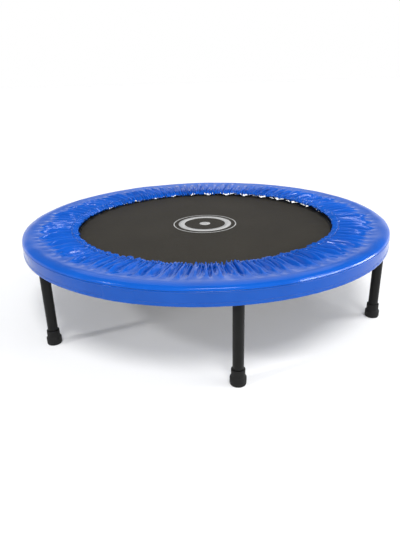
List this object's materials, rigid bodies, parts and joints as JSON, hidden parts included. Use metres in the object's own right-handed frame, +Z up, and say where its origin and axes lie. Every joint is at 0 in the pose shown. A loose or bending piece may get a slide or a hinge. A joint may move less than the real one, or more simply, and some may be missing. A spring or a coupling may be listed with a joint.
{
  "type": "mini trampoline",
  "caption": "Round mini trampoline: hollow steel hoop on screw-in legs with rubber feet, coil springs, a woven jumping mat and a padded vinyl cover with a skirt.",
  "frame": {"origin": "on the floor, under the centre of the mat", "axes": "+Z up through the centre of the mat; one leg stands on -Y, the others every 60 degrees"},
  "size_m": [1.0276, 1.0276, 0.242],
  "materials": {
    "hoop_paint": "semi-gloss black powder coat",
    "leg_paint": "satin black powder coat",
    "zinc_steel": "bright zinc plating",
    "foot_rubber": "matt moulded rubber",
    "woven_mat": "woven polypropylene, dark warm grey",
    "webbing": "woven black webbing",
    "blue_vinyl": "glossy royal blue coated vinyl, gathered",
    "foam": "white closed-cell foam"
  },
  "bodies": {
    "frame": {"frame_ring": "hoop_paint", "leg_stud_1": "zinc_steel", "leg_stud_2": "zinc_steel", "leg_stud_3": "zinc_steel", "leg_stud_4": "zinc_steel", "leg_stud_5": "zinc_steel", "leg_stud_6": "zinc_steel", "spring_01": "zinc_steel", "spring_02": "zinc_steel", "spring_03": "zinc_steel", "spring_04": "zinc_steel", "spring_05": "zinc_steel", "spring_06": "zinc_steel", "spring_07": "zinc_steel", "spring_08": "zinc_steel", "spring_09": "zinc_steel", "spring_10": "zinc_steel", "spring_11": "zinc_steel", "spring_12": "zinc_steel", "spring_13": "zinc_steel", "spring_14": "zinc_steel", "spring_15": "zinc_steel", "spring_16": "zinc_steel", "spring_17": "zinc_steel", "spring_18": "zinc_steel", "spring_19": "zinc_steel", "spring_20": "zinc_steel", "spring_21": "zinc_steel", "spring_22": "zinc_steel", "spring_23": "zinc_steel", "spring_24": "zinc_steel", "spring_25": "zinc_steel", "spring_26": "zinc_steel", "spring_27": "zinc_steel", "spring_28": "zinc_steel", "spring_29": "zinc_steel", "spring_30": "zinc_steel", "spring_31": "zinc_steel", "spring_32": "zinc_steel", "spring_33": "zinc_steel", "spring_34": "zinc_steel", "spring_35": "zinc_steel", "spring_36": "zinc_steel", "cover_top": "blue_vinyl", "cover_skirt": "blue_vinyl", "foam_pad": "foam"},
    "mat": {"mat": "woven_mat", "mat_hem": "webbing"},
    "leg_1": {"leg_1": "leg_paint", "foot_1": "foot_rubber"},
    "leg_2": {"leg_2": "leg_paint", "foot_2": "foot_rubber"},
    "leg_3": {"leg_3": "leg_paint", "foot_3": "foot_rubber"},
    "leg_4": {"leg_4": "leg_paint", "foot_4": "foot_rubber"},
    "leg_5": {"leg_5": "leg_paint", "foot_5": "foot_rubber"},
    "leg_6": {"leg_6": "leg_paint", "foot_6": "foot_rubber"}
  },
  "joints": [
    {"name": "mat_bounce", "type": "slide", "parent": "frame", "child": "mat", "axis": [0, 0, 1], "range_m": [-0.06, 0], "stiffness_N_per_m": 9000, "deforming": ["spring_01", "spring_02", "spring_03", "spring_04", "spring_05", "spring_06", "spring_07", "spring_08", "spring_09", "spring_10", "spring_11", "spring_12", "spring_13", "spring_14", "spring_15", "spring_16", "spring_17", "spring_18", "spring_19", "spring_20", "spring_21", "spring_22", "spring_23", "spring_24", "spring_25", "spring_26", "spring_27", "spring_28", "spring_29", "spring_30", "spring_31", "spring_32", "spring_33", "spring_34", "spring_35", "spring_36"]},
    {"name": "leg_1_unscrew", "type": "slide", "parent": "frame", "child": "leg_1", "axis": [0, 0, -1], "range_m": [0, 0.025]},
    {"name": "leg_2_unscrew", "type": "slide", "parent": "frame", "child": "leg_2", "axis": [0, 0, -1], "range_m": [0, 0.025]},
    {"name": "leg_3_unscrew", "type": "slide", "parent": "frame", "child": "leg_3", "axis": [0, 0, -1], "range_m": [0, 0.025]},
    {"name": "leg_4_unscrew", "type": "slide", "parent": "frame", "child": "leg_4", "axis": [0, 0, -1], "range_m": [0, 0.025]},
    {"name": "leg_5_unscrew", "type": "slide", "parent": "frame", "child": "leg_5", "axis": [0, 0, -1], "range_m": [0, 0.025]},
    {"name": "leg_6_unscrew", "type": "slide", "parent": "frame", "child": "leg_6", "axis": [0, 0, -1], "range_m": [0, 0.025]}
  ]
}
